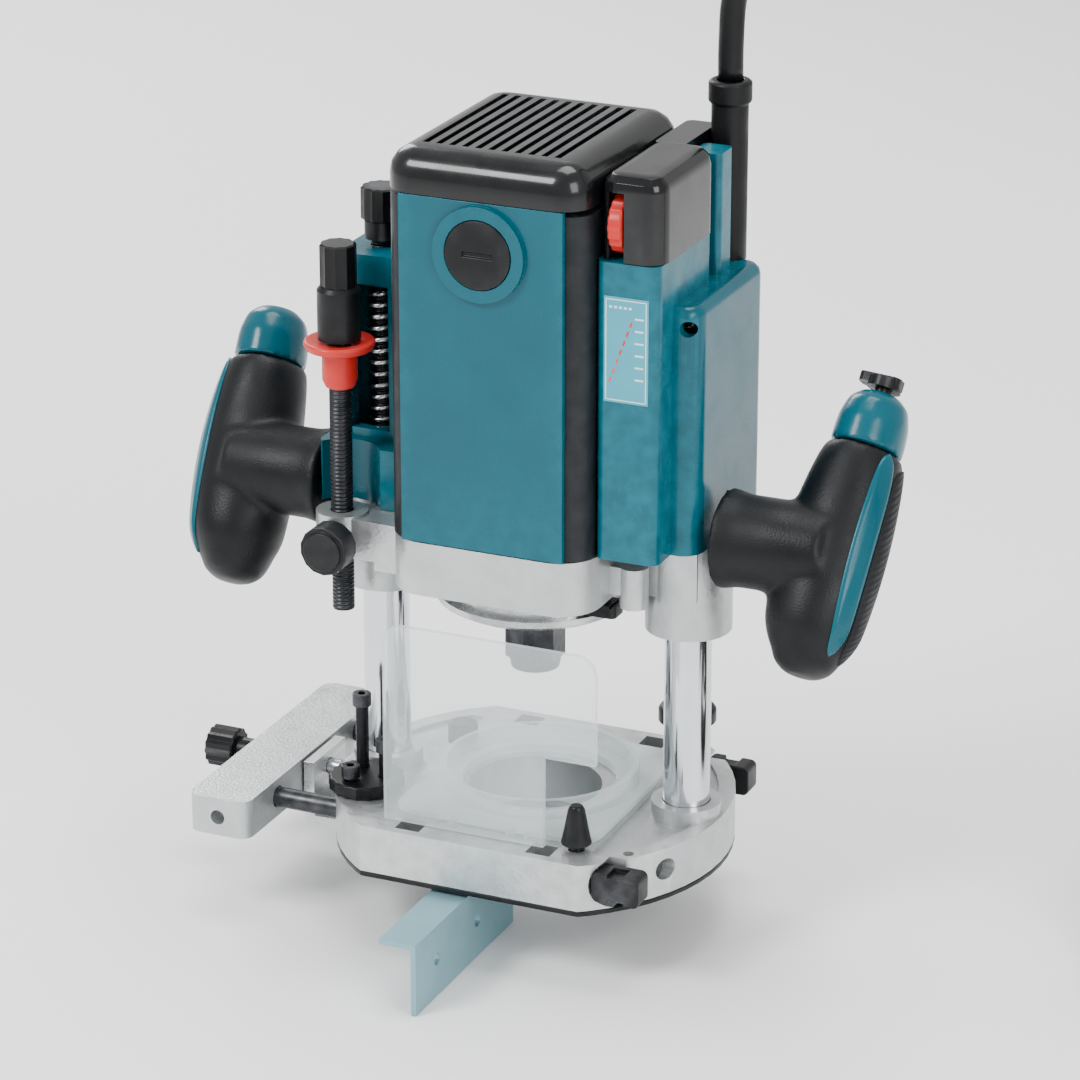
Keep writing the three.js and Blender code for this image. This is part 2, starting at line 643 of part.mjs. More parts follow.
function makeDepthStop(head) {
  const { x, y, r, bottom, top } = POLE;
  const stop = group(head, x, y, 0);
  piece(stop, "stop_pole", rod("z", r, bottom, top, 0, 0, 20), BLACK_STEEL());
  const flange = cut(
    join(
      turned([[0, 184], [5.4, 184], [6.7, 187], [6.7, 197], [12.8, 199.2], [13.7, 201.4], [12.9, 202.4],
        [0, 200.4]], 32),
    ),
    rod("z", r + GAP, 0, 300, 0, 0, 20),
  );
  piece(stop, "stop_pointer", flange, RED());
  const knob = cut(
    join(
      rod("z", 8.2, 203, 222, 0, 0, 32),
      rod("z", 8.2, 222, 223.5, 0, 0, 32, 7),
      flutedDisc(7, 10, 0.6, 222.5, 240),
    ),
    rod("z", r + GAP, 0, 214, 0, 0, 20),
  );
  piece(group(stop), "fine_adjust_knob", knob, BLACK());

  const clamp = group(head, CLAMP_SCREW_X, y - 10.5, 126.5);
  const screw = join(
    rod("y", 9.6, -13.5, -4, 0, 0, 14),
    rod("y", 7.6, -15, -12, 0, 0, 28),
    rod("y", 6, -5, -GAP, 0, 0, 24),
    rod("y", 3, -5, 5.6, 0, 0, 16),
  );
  piece(clamp, "pole_clamp_knob", screw, BLACK());
}

// ---------------------------------------------------------------- motor
function makeMotor(head) {
  const stator = cut(
    rod("z", 36, 168, 228, 0, 0, 40),
    rod("z", 27, 0, 300, 0, 0, 32),
  );
  piece(head, "stator", stator, STEEL());
  const bearing = cut(
    rod("z", 17.5, 109.2, 121, 0, 0, 32),
    rod("z", SPINDLE_R + GAP, 0, 300, 0, 0, 20),
  );
  piece(head, "lower_bearing", bearing, STEEL());

  const spindle = group(head);
  piece(
    spindle,
    "spindle_shaft",
    join(rod("z", SPINDLE_R, NUT_TOP - 4, 265, 0, 0, 20), rod("z", 9, NUT_TOP + GAP, 108, 0, 0, 24)),
    STEEL(),
  );
  const blades = [];
  for (let i = 0; i < 10; i++) {
    const blade = box(12, 31, -0.9, 0.9, 144, 158);
    blades.push(turn(blade, new THREE.Matrix4().makeRotationZ((i * Math.PI) / 5)));
  }
  const wound = join(
    rod("z", 31, 142, 145, 0, 0, 32), // fan
    ...blades,
    rod("z", 12.5, 142, 162, 0, 0, 24),
    rod("z", 21, 160, 236, 0, 0, 24), // windings
    rod("z", 26, 168, 228, 0, 0, 32),
    rod("z", 16, 235, 256, 0, 0, 32), // commutator
  );
  piece(spindle, "armature", cut(wound, rod("z", SPINDLE_R + GAP, 0, 300, 0, 0, 20)), COPPER());

  const nut = cut(
    join(
      rod("z", 11.6, NUT_BOTTOM + 4, NUT_TOP, 0, 0, 6),
      rod("z", 9.4, NUT_BOTTOM, NUT_BOTTOM + 4.2, 0, 0, 24, 10.2),
    ),
    rod("z", 6.3, 0, 200, 0, 0, 20),
  );
  piece(spindle, "collet_nut", nut, BLACK_STEEL());
  piece(
    spindle,
    "collet",
    cut(rod("z", 6, NUT_BOTTOM + 1, NUT_TOP - 4.3, 0, 0, 20), rod("z", 4, 0, NUT_TOP - 7, 0, 0, 16)),
    STEEL(),
  );
}

// ---------------------------------------------------------------- springs and cord
class Coil extends THREE.Curve {
  constructor(radius, bottom, top, turns) {
    super();
    Object.assign(this, { radius, bottom, top, turns });
  }

  getPoint(t, target = new THREE.Vector3()) {
    const angle = t * this.turns * 2 * Math.PI;
    const height = this.bottom + t * (this.top - this.bottom);
    return target.set(this.radius * Math.cos(angle), this.radius * Math.sin(angle), height);
  }
}

function makeSprings(base) {
  const turns = 12;
  for (const [side, sign, top] of [["left", -1, 220.5], ["right", 1, 225]]) {
    const place = group(base, sign * COLUMN_X, 0, 0);
    const curve = new Coil(5.25, 8, top - 1, turns);
    piece(place, `plunge_spring_${side}`, tube(curve, 0.65, turns * 8, 4), STEEL());
  }
}

// The cord rises from its guard, arches over clear of the router and comes down to its coil.
const CORD_PATH = [
  [60, 42, 298.3], [60, 42, 312], [61, 41.8, 328], [66, 40.8, 347], [76, 38.8, 366],
  [93, 35.5, 385], [116, 31, 398], [141, 26, 401], [168, 21, 395], [192, 16.3, 378],
  [210, 13, 353], [219, 11.4, 322], [222, 10.4, 290], [224.2, 10, 255], [224.6, 9.7, 215],
  [224.4, 9.5, 170], [224.4, 9.5, 125], [224.4, 9.6, 85], [224.4, 11, 58], [224.3, 18, 33],
  [224.2, 30, 15.5], [224, 45, 6.4], [224, 59, 4], [224.3, 71, 3.9],
];

function makeCord(base) {
  const points = CORD_PATH.map((p) => new THREE.Vector3(...p));
  const curve = new THREE.CatmullRomCurve3(points, false, "centripetal");
  piece(base, "power_cord", tube(curve, CORD_R, 44, 8), RUBBER());

  const { x, y, ring, width, height } = COIL;
  const bundle = turned([
    [ring - width / 2, FLOOR + 4], [ring - width / 2 + 4, FLOOR], [ring + width / 2 - 4, FLOOR],
    [ring + width / 2, FLOOR + 4], [ring + width / 2, FLOOR + height - 4], [ring + width / 2 - 4, FLOOR + height],
    [ring - width / 2 + 4, FLOOR + height], [ring - width / 2, FLOOR + height - 4],
    [ring - width / 2, FLOOR + 4],
  ], 32).translate([x, y, 0]);
  piece(base, "cord_coil", bundle, RUBBER());

  // The plug lies beside the coil, its cord end against the outermost turn.
  const plug = join(
    rod("y", 12.4, 0, 36, 0, 0, 20, 7.5),
    rod("y", 6, 34, 62, 0, 0, 16, 4.8),
    rod("y", 2.4, -19, 1, -6.5, 0, 12),
    rod("y", 2.4, -19, 1, 6.5, 0, 12),
  ).translate([x + ring + width / 2 - 5, y - 122, FLOOR + 12.4]);
  piece(base, "plug", plug, RUBBER());
}

// ---------------------------------------------------------------- assembly
const base = group(router);
makeBase(base);
makeSprings(base);
makeLimitKnob(router);
makeRodClamps(router);
makeTurret(router);
makeGuide(router);
const head = group(router);
makeBracket(head);
makeCase(head);
makeTopCap(head);
makeTowers(head);
makeHandles(head);
makeControls(head);
makeDepthStop(head);
makeMotor(head);
makeCord(base);

export default router;
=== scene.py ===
"""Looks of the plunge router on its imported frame.

The scene is in metres and +Z is up. Shapes are stated in millimetres and scaled by MM.
The camera, the materials and the cord come first, then the pieces that stand for CAD
nodes, the details laid on them, the stage and the lights.
"""

import json
import math

import bmesh
import bpy
from mathutils import Matrix, Vector
from mathutils.bvhtree import BVHTree
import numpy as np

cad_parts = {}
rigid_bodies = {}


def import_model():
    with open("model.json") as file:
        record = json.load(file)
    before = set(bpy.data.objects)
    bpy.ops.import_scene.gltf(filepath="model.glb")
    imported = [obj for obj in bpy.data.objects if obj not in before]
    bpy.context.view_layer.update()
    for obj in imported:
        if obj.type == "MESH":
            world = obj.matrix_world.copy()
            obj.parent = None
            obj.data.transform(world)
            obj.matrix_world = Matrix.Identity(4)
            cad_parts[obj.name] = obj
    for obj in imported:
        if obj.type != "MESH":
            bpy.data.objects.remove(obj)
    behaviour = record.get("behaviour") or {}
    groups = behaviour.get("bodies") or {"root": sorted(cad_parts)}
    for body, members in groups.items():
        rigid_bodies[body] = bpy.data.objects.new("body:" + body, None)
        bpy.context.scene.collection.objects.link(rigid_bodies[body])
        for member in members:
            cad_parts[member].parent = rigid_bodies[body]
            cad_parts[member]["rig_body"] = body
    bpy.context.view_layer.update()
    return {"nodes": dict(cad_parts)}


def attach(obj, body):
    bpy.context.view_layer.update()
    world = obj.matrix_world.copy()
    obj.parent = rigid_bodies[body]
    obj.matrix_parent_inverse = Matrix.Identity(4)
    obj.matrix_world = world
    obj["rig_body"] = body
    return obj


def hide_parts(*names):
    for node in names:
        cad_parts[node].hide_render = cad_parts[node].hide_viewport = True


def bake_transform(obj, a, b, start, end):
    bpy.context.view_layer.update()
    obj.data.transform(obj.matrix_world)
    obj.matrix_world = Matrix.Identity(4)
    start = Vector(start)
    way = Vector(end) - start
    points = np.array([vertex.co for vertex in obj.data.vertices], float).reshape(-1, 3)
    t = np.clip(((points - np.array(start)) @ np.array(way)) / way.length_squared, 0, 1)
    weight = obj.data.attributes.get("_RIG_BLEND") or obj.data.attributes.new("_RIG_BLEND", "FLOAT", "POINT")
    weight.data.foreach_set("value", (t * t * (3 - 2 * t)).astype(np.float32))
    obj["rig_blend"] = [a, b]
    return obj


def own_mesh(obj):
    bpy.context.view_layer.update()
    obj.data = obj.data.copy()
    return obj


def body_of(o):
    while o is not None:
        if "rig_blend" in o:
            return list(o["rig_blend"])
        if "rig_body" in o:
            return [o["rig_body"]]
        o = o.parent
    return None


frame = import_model()
NODES = frame["nodes"]
FLOOR = -0.030  # underside of the fence and of the cord's coil
MM = 0.001
SIDES = ("left", "right")


# ------------------------------------------------------------------ camera
def make_camera():
    """The main view, from the front, a little to the right and above."""
    data = bpy.data.cameras.new("Camera")
    camera = bpy.data.objects.new("Camera", data)
    bpy.context.scene.collection.objects.link(camera)
    camera.location = (0.6346, -1.4297, 0.7231)
    camera.rotation_euler = (math.radians(90 - 21.03), 0, math.radians(23.87))
    data.lens, data.sensor_width = 147.36, 36
    bpy.context.scene.camera = camera


make_camera()


# ------------------------------------------------------------------ mesh helpers
def new_object(name, mesh, material=None):
    made = bpy.data.objects.new(name, mesh)
    bpy.context.scene.collection.objects.link(made)
    if material:
        mesh.materials.append(material)
    for face in mesh.polygons:
        face.use_smooth = True
    return made


def tube(path, radius, sides=12):
    """A closed round tube mesh along a list of points, its rings carried along without twist."""
    points = [Vector(p) for p in path]
    tangents = []
    for i in range(len(points)):
        a, b = points[max(i - 1, 0)], points[min(i + 1, len(points) - 1)]
        tangents.append((b - a).normalized())
    across = tangents[0].orthogonal().normalized()
    verts, faces = [], []
    for i, (point, tangent) in enumerate(zip(points, tangents)):
        across = (across - tangent * across.dot(tangent)).normalized()
        other = tangent.cross(across)
        for k in range(sides):
            turn = 2 * math.pi * k / sides
            verts.append(point + radius * (math.cos(turn) * across + math.sin(turn) * other))
        if i:
            for k in range(sides):
                a, b = (i - 1) * sides + k, (i - 1) * sides + (k + 1) % sides
                faces.append((a, b, b + sides, a + sides))
    faces.append(tuple(reversed(range(sides))))
    faces.append(tuple(range((len(points) - 1) * sides, len(points) * sides)))
    mesh = bpy.data.meshes.new("tube")
    mesh.from_pydata([tuple(v) for v in verts], [], faces)
    mesh.validate()
    return mesh


def mesh_of(shape, name):
    """The bmesh as a new mesh. The bmesh is freed."""
    mesh = bpy.data.meshes.new(name)
    shape.to_mesh(mesh)
    shape.free()
    return mesh


def smoothstep(t):
    t = min(max(t, 0), 1)
    return t * t * (3 - 2 * t)


def eased(start, end):
    """A function of t that goes from start at 0 to end at 1, level at both."""
    return lambda t: start + (end - start) * smoothstep(t)


def centripetal(points, step):
    """Points about step apart on the centripetal Catmull-Rom curve through points."""
    p = [Vector(q) for q in points]
    p = [2 * p[0] - p[1], *p, 2 * p[-1] - p[-2]]
    out = [p[1]]
    for a, b, c, d in zip(p, p[1:], p[2:], p[3:]):
        t0, t1 = 0, (b - a).length ** 0.5
        t2 = t1 + (c - b).length ** 0.5
        t3 = t2 + (d - c).length ** 0.5
        count = max(2, round((c - b).length / step))
        for k in range(1, count + 1):
            t = t1 + (t2 - t1) * k / count
            ab = a.lerp(b, (t - t0) / (t1 - t0))
            bc = b.lerp(c, (t - t1) / (t2 - t1))
            cd = c.lerp(d, (t - t2) / (t3 - t2))
            first = ab.lerp(bc, (t - t0) / (t2 - t0))
            second = bc.lerp(cd, (t - t1) / (t3 - t1))
            out.append(first.lerp(second, (t - t1) / (t2 - t1)))
    return out


# ------------------------------------------------------------------ materials
def srgb(*channels):
    """A colour given as three numbers up to 255, as linear RGBA."""
    linear = (((c / 255 + 0.055) / 1.055) ** 2.4 if c > 10 else c / 255 / 12.92 for c in channels)
    return (*linear, 1)


def shade(colour, by):
    return tuple(min(c * by, 1) for c in colour[:3]) + (1,)


SPECULAR = 0.24  # specular level of every finish
MIDDLE = (0.35, 0.65)  # the span that noise mostly stays in
BANDS_PER_SCALE = 3.1831  # bands in a metre of a wave texture of scale 1
COLOUR_A, COLOUR_B, COLOUR_OUT = 6, 7, 2  # colour sockets of a mix node


class Finish:
    """Builds one procedural material: colour drift, edges painted lighter as a painted highlight and partly as rubbed
    wear, uneven gloss and a fine relief.
    """

    def __init__(self, name, colour, rough, metallic=0.0):
        self.made = bpy.data.materials.new(name)
        self.made.use_nodes = True
        self.tree = self.made.node_tree
        self.shader = self.tree.nodes["Principled BSDF"]
        self.shader.inputs["Metallic"].default_value = metallic
        self.shader.inputs["Roughness"].default_value = rough
        self.shader.inputs["Specular IOR Level"].default_value = SPECULAR
        self.colour, self.rough = colour, rough
        self.place = self.tree.nodes.new("ShaderNodeTexCoord").outputs["Object"]
        self.socket = None
        self.height = None

    def link(self, a, b):
        self.tree.links.new(a, b)

    def noise(self, scale, detail=3.0, stretch=(1, 1, 1)):
        where = self.place
        if stretch != (1, 1, 1):
            mapping = self.tree.nodes.new("ShaderNodeMapping")
            mapping.inputs["Scale"].default_value = stretch
            self.link(where, mapping.inputs["Vector"])
            where = mapping.outputs["Vector"]
        node = self.tree.nodes.new("ShaderNodeTexNoise")
        node.inputs["Scale"].default_value = scale
        node.inputs["Detail"].default_value = detail
        self.link(where, node.inputs["Vector"])
        return node.outputs["Fac"]

    def ranged(self, value, low, high, frm=MIDDLE):
        node = self.tree.nodes.new("ShaderNodeMapRange")
        node.inputs["From Min"].default_value, node.inputs["From Max"].default_value = frm
        node.inputs["To Min"].default_value, node.inputs["To Max"].default_value = low, high
        self.link(value, node.inputs["Value"])
        return node.outputs["Result"]

    def mix(self, factor, a, b):
        node = self.tree.nodes.new("ShaderNodeMix")
        node.data_type = "RGBA"
        self.link(factor, node.inputs["Factor"])
        for value, at in ((a, COLOUR_A), (b, COLOUR_B)):
            if isinstance(value, tuple):
                node.inputs[at].default_value = value
            else:
                self.link(value, node.inputs[at])
        return node.outputs[COLOUR_OUT]

    def drift(self, amount, scale=28.0):
        """Colour that wanders a little over the surface. It comes before the edges' painted highlight and wear."""
        darker, lighter = shade(self.colour, 1 - amount), shade(self.colour, 1 + amount)
        self.socket = self.mix(self.ranged(self.noise(scale, 4.0), 0, 1), darker, lighter)
        return self

    def edge_highlight_and_wear(self, colour, amount, reach=(0.53, 0.62)):
        """Edges painted a lighter colour, a painted highlight that is partly rubbed wear, broken up by noise."""
        point = self.tree.nodes.new("ShaderNodeNewGeometry").outputs["Pointiness"]
        edge = self.ranged(point, 0, amount, reach)
        broken = self.tree.nodes.new("ShaderNodeMath")
        broken.operation = "MULTIPLY"
        self.link(edge, broken.inputs[0])
        self.link(self.ranged(self.noise(160, 3.0), 0.2, 1), broken.inputs[1])
        self.socket = self.mix(broken.outputs[0], self.socket, colour)
        return self

    def gloss(self, spread, scale=60.0, stretch=(1, 1, 1)):
        low, high = max(self.rough - spread, 0.03), min(self.rough + spread, 1)
        self.link(self.ranged(self.noise(scale, 4.0, stretch), low, high), self.shader.inputs["Roughness"])
        return self

    def relief(self, scale, strength, distance, stretch=(1, 1, 1)):
        """Fine uneven height."""
        return self.bump(self.noise(scale, 3.0, stretch), strength, distance)

    def lines(self, axis, per_metre, strength, distance):
        """Even grooves along one axis, such as a screw thread."""
        node = self.tree.nodes.new("ShaderNodeTexWave")
        node.bands_direction = axis
        node.inputs["Scale"].default_value = per_metre / BANDS_PER_SCALE
        node.inputs["Distortion"].default_value = 0.15
        self.link(self.place, node.inputs["Vector"])
        return self.bump(node.outputs["Fac"], strength, distance)

    def bump(self, height, strength, distance):
        """Adds a height to the reliefs made so far."""
        node = self.tree.nodes.new("ShaderNodeBump")
        node.inputs["Strength"].default_value = strength
        node.inputs["Distance"].default_value = distance
        self.link(height, node.inputs["Height"])
        if self.height:
            self.link(self.height, node.inputs["Normal"])
        self.height = node.outputs["Normal"]
        return self

    def coat(self, weight):
        self.shader.inputs["Coat Weight"].default_value = weight
        self.shader.inputs["Coat Roughness"].default_value = 0.08
        return self

    def done(self):
        self.link(self.socket, self.shader.inputs["Base Color"])
        self.link(self.height, self.shader.inputs["Normal"])
        return self.made


def clear_material():
    """Acrylic that is clearest face on; at grazing angles its pale colour turns more opaque, a painted reflection on
    its rims.
    """
    finish = Finish("clear_acrylic", srgb(226, 236, 238), 0.06)
    finish.drift(0.02, 40).gloss(0.03, 90).relief(60, 0.08, 0.0002)
    # painted reflection: the pale colour grows more opaque where the surface turns away from the view
    rim = finish.tree.nodes.new("ShaderNodeLayerWeight")
    rim.inputs["Blend"].default_value = 0.35
    finish.link(finish.ranged(rim.outputs["Facing"], 0.16, 0.8, (0, 1)), finish.shader.inputs["Alpha"])
    finish.shader.inputs["IOR"].default_value = 1.49
    return finish.done()


FINE = {  # finish by the name that the pieces below use
    # the second colour in most finishes lightens the edges: a painted highlight, partly rubbed wear
    "teal": (
        Finish("teal_gloss_plastic", srgb(0, 78, 92), 0.26)
        .drift(0.07).edge_highlight_and_wear(srgb(10, 130, 150), 0.3).gloss(0.06, 70)
        .relief(900, 0.10, 0.0001).relief(45, 0.015, 0.0005).coat(0.08).done()
    ),
    "gloss_black": (
        Finish("gloss_black_plastic", srgb(9, 10, 12), 0.22)
        .drift(0.25).edge_highlight_and_wear(srgb(70, 72, 76), 0.4).gloss(0.07, 80)
        .relief(700, 0.12, 0.0001).coat(0.3).done()
    ),
    "black": (
        Finish("satin_black_plastic", srgb(11, 12, 14), 0.38)
        .drift(0.25).edge_highlight_and_wear(srgb(84, 86, 90), 0.45).gloss(0.09, 90)
        .relief(1300, 0.35, 0.00012).done()
    ),
    "charcoal": (
        Finish("moulded_charcoal", srgb(16, 21, 25), 0.42)
        .drift(0.18).edge_highlight_and_wear(srgb(96, 99, 102), 0.4).gloss(0.08, 90)
        .relief(1200, 0.4, 0.00014).done()
    ),
    "grip": (
        Finish("grip_rubber", srgb(10, 12, 15), 0.44)
        .drift(0.2).edge_highlight_and_wear(srgb(66, 67, 69), 0.3).gloss(0.08, 60)
        .relief(1500, 0.6, 0.0002).done()
    ),
    "rubber": (
        Finish("cord_rubber", srgb(11, 12, 14), 0.45)
        .drift(0.22).gloss(0.1, 70).relief(800, 0.35, 0.00015).done()
    ),
    "cast": (
        Finish("cast_alloy", srgb(186, 189, 190), 0.38, 0.8)
        .drift(0.07, 45).edge_highlight_and_wear(srgb(222, 224, 224), 0.5).gloss(0.08, 140)
        .relief(750, 0.55, 0.0003).relief(90, 0.12, 0.0006).done()
    ),
    "machined": (
        Finish("machined_alloy", srgb(196, 198, 199), 0.3, 0.9)
        .drift(0.05, 60).edge_highlight_and_wear(srgb(232, 233, 233), 0.5).gloss(0.09, 400, (1, 0.04, 1))
        .relief(900, 0.3, 0.0001, (1, 0.03, 1)).done()
    ),
    "chrome": (
        Finish("ground_chrome", srgb(214, 217, 220), 0.12, 1.0)
        .drift(0.04, 50).gloss(0.05, 500, (1, 1, 0.03))
        .relief(1400, 0.08, 0.00005, (1, 1, 0.02)).done()
    ),
    "steel": (
        Finish("bright_steel", srgb(178, 180, 183), 0.28, 1.0)
        .drift(0.06, 70).edge_highlight_and_wear(srgb(224, 225, 226), 0.5).gloss(0.08, 300)
        .relief(1100, 0.2, 0.0001).done()
    ),
    "black_steel": (
        Finish("blackened_steel", srgb(40, 41, 44), 0.34, 0.8)
        .drift(0.2, 90).edge_highlight_and_wear(srgb(140, 142, 146), 0.6).gloss(0.1, 200)
        .relief(1000, 0.2, 0.0001).done()
    ),
    "thread": (
        Finish("threaded_black_steel", srgb(38, 39, 42), 0.32, 0.8)
        .drift(0.2, 120).edge_highlight_and_wear(srgb(128, 130, 134), 0.5).gloss(0.08, 200)
        .lines("Z", 640, 0.9, 0.0006).done()
    ),
    "pale": (
        Finish("pale_coated_steel", srgb(128, 168, 178), 0.34, 0.45)
        .drift(0.03, 40).gloss(0.06, 120).relief(900, 0.2, 0.0001).done()
    ),
    "red": (
        Finish("salmon_plastic", srgb(190, 42, 38), 0.36)
        .drift(0.07, 80).edge_highlight_and_wear(srgb(236, 132, 116), 0.35).gloss(0.07, 90)
        .relief(1100, 0.2, 0.0001).done()
    ),
    "winding": (
        Finish("varnished_winding", srgb(168, 92, 48), 0.4, 0.6)
        .drift(0.15, 200).gloss(0.1, 200).lines("Z", 900, 0.8, 0.0006).done()
    ),
    "pad": (
        Finish("ribbed_grip_pad", srgb(20, 22, 25), 0.6)
        .drift(0.2).gloss(0.08, 60).lines("Z", 420, 0.5, 0.0005)
        .relief(1500, 0.5, 0.0002).done()
    ),
    "label": (
        Finish("label_film", srgb(70, 158, 178), 0.4)
        .drift(0.04, 60).gloss(0.05, 90).relief(700, 0.06, 0.00005).done()
    ),
    "white": (
        Finish("printed_white", srgb(216, 226, 228), 0.5)
        .drift(0.04, 300).gloss(0.05, 200).relief(900, 0.06, 0.00005).done()
    ),
    "clear": clear_material(),
}


# ------------------------------------------------------------------ the cord
CORD_RADIUS = 4.75
COIL_X, COIL_Y = 281, 65
COIL_INNER, COIL_OUTER = 52.05, 61.95  # radii of the two rings of turns
COIL_BOTTOM, COIL_PITCH = -25.2, 9.6  # height of the lowest turn's middle, and rise in a turn
PLUG_TAIL = Vector((342.7, 4.5, -17.6))  # where the cord goes into the plug


def cord_route():
    """The cord's centreline: up out of the guard, over, down to the floor, round the coil and to the plug."""
    lead = [
        (60, 42, 298.3), (60, 42, 312), (61, 41.8, 328), (66, 40.8, 347), (76, 38.8, 366), (93, 35.5, 385),
        (116, 31, 398), (141, 26, 401), (168, 21, 395), (192, 16.3, 378), (210, 13, 353), (219, 11.4, 322),
        (222, 10.4, 290), (224.2, 10, 255), (224.6, 9.7, 215), (224.4, 9.5, 170), (224.4, 9.5, 125),
        (224.4, 9.6, 85), (224.4, 11, 58), (224.3, 18, 33), (224.2, 30, 15.5), (224, 45, 6.4), (224, 59, 4),
        (224.3, 71, 3.9),
    ]  # fmt: skip
    points = centripetal(lead, 4)

    def turn(start, end, radius, height):
        """Goes round the coil between two angles, with the radius and height at t 0 to 1."""
        count = round(abs(end - start) / 5)
        for k in range(1, count + 1):
            t = k / count
            angle = math.radians(start + (end - start) * t)
            r = radius(t)
            points.append(Vector((COIL_X + r * math.cos(angle), COIL_Y + r * math.sin(angle), height(t))))

    landing, top = 57, -6  # radius where the lead lands, and height where the inner turns start
    turn(174, 65, eased(landing, COIL_INNER), eased(lead[-1][2], top))
    turn(65, -655, lambda t: COIL_INNER, lambda t: top + (COIL_BOTTOM - top) * t)
    turn(-655, -775, eased(COIL_INNER, COIL_OUTER), lambda t: COIL_BOTTOM)
    sweep, lift, lift_from = 665, 4, 515  # the outer turns rise, and lift clear of the turn below at the end

    def outer_height(t):
        lifted = smoothstep((sweep * t - lift_from) / (sweep - lift_from))
        return COIL_BOTTOM + COIL_PITCH * sweep / 360 * t + lift * lifted

    turn(-775, -775 - sweep, lambda t: COIL_OUTER, outer_height)
    start, steps = points[-1], 15
    height = eased(start.z, PLUG_TAIL.z)
    for k in range(1, steps + 1):
        point = start.lerp(PLUG_TAIL, k / steps)
        point.z = height(k / steps)
        points.append(point)
    return [p * MM for p in points]


def make_cord():
    route = cord_route()
    cord = new_object("cord", tube(route, CORD_RADIUS * MM), FINE["rubber"])
    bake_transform(cord, "base", "head", start=(0.215, 0.04, 0.35), end=(0.075, 0.04, 0.35))
    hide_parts("power_cord", "cord_coil")


make_cord()


# ------------------------------------------------------------------ pieces that follow a CAD node's shape
MERGE = 4e-6  # vertices closer than this, in metres, are one


def shape_of(node):
    """A bmesh of a node's shape, with doubled vertices merged."""
    shape = bmesh.new()
    shape.from_mesh(NODES[node].data)
    bmesh.ops.remove_doubles(shape, verts=shape.verts, dist=MERGE)
    return shape


def stand_in(name, mesh, node, finish):
    """A piece that rides with a node's body and is shown in its place."""
    piece = new_object(name, mesh, FINE[finish])
    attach(piece, body_of(NODES[node])[0])
    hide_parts(node)
    return piece


def refined(node, finish, rounding):
    """A node's shape with its flats cleaned, its edges rounded and its curves shaded smooth."""
    shape = shape_of(node)
    bmesh.ops.dissolve_limit(shape, angle_limit=math.radians(1), verts=shape.verts, edges=shape.edges)
    piece = stand_in(node + "_skin", mesh_of(shape, node), node, finish)
    edges = piece.modifiers.new("Edges", "BEVEL")
    edges.width, edges.segments = rounding * MM, 2
    edges.limit_method, edges.angle_limit = "ANGLE", math.radians(30)
    piece.modifiers.new("Normals", "WEIGHTED_NORMAL")
    return piece


def soften(piece, voxel, iterations):
    """Joins the piece's shells into one even skin and smooths its creases."""
    even = piece.modifiers.new("Even", "REMESH")
    even.mode, even.voxel_size, even.use_smooth_shade = "VOXEL", voxel * MM, True
    smooth = piece.modifiers.new("Soften", "SMOOTH")
    smooth.factor, smooth.iterations = 0.5, iterations


# The right grip's bar: its foot, the way along it, and two ways across it, to the side and to the back.
GRIP_FOOT = Vector((117, -26, 95))
GRIP_AXIS = Vector((0.0723, 0.5511, 0.8313))
GRIP_SIDE = Vector((0.9972, -0.0217, -0.0723))
GRIP_BACK = Vector((-0.0218, 0.8342, -0.5511))
SWELL_RINGS, SWELL_SIDES = 28, 32
SWELL_LENGTH, SWELL_FROM = 87, 0.5


def mirrored(point, side):
    """A point or direction of the right grip, on the grip of that side."""
    return Vector((point.x if side == "right" else -point.x, point.y, point.z))


def swelled_grip(side):
    """The handle's shape with a closed palm swell round its bar, so that the bar is fullest in the middle."""
    shape = shape_of(f"handle_{side}")
    rings = []
    for i in range(SWELL_RINGS + 1):
        t = i / SWELL_RINGS
        swell = math.sin(math.pi * t) ** 0.7
        foot = max(math.sqrt(1 - (1 - min(t / 0.24, 1)) ** 2), 0.08)  # rounds the lower end
        centre = GRIP_FOOT + GRIP_AXIS * (SWELL_FROM + SWELL_LENGTH * t) - GRIP_BACK * 2.8 * swell
        across, deep = GRIP_SIDE * (14.2 + 5.4 * swell), GRIP_BACK * (17.4 + 1.8 * swell)
        ring = []
        for k in range(SWELL_SIDES):
            turn = 2 * math.pi * k / SWELL_SIDES
            point = centre + (across * math.cos(turn) + deep * math.sin(turn)) * foot
            ring.append(shape.verts.new(mirrored(point, side) * MM))
        rings.append(ring if side == "right" else ring[::-1])
    shape.faces.new(rings[0][::-1])
    shape.faces.new(rings[-1])
    for low, high in zip(rings, rings[1:]):
        for k in range(SWELL_SIDES):
            after = (k + 1) % SWELL_SIDES
            shape.faces.new((low[k], low[after], high[after], high[k]))
    return mesh_of(shape, f"grip_{side}")


def make_grip(side):
    """Makes a grip, and returns the surface that its inlays are laid on."""
    mesh = swelled_grip(side)
    soften(stand_in(f"grip_{side}", mesh, f"handle_{side}", "grip"), voxel=1.5, iterations=10)
    return BVHTree.FromPolygons([v.co for v in mesh.vertices], [tuple(f.vertices) for f in mesh.polygons])


def make_cap(side):
    node = f"handle_cap_{side}"
    cap = stand_in(f"{node}_skin", mesh_of(shape_of(node), node), node, "teal")
    soften(cap, voxel=1.3, iterations=8)


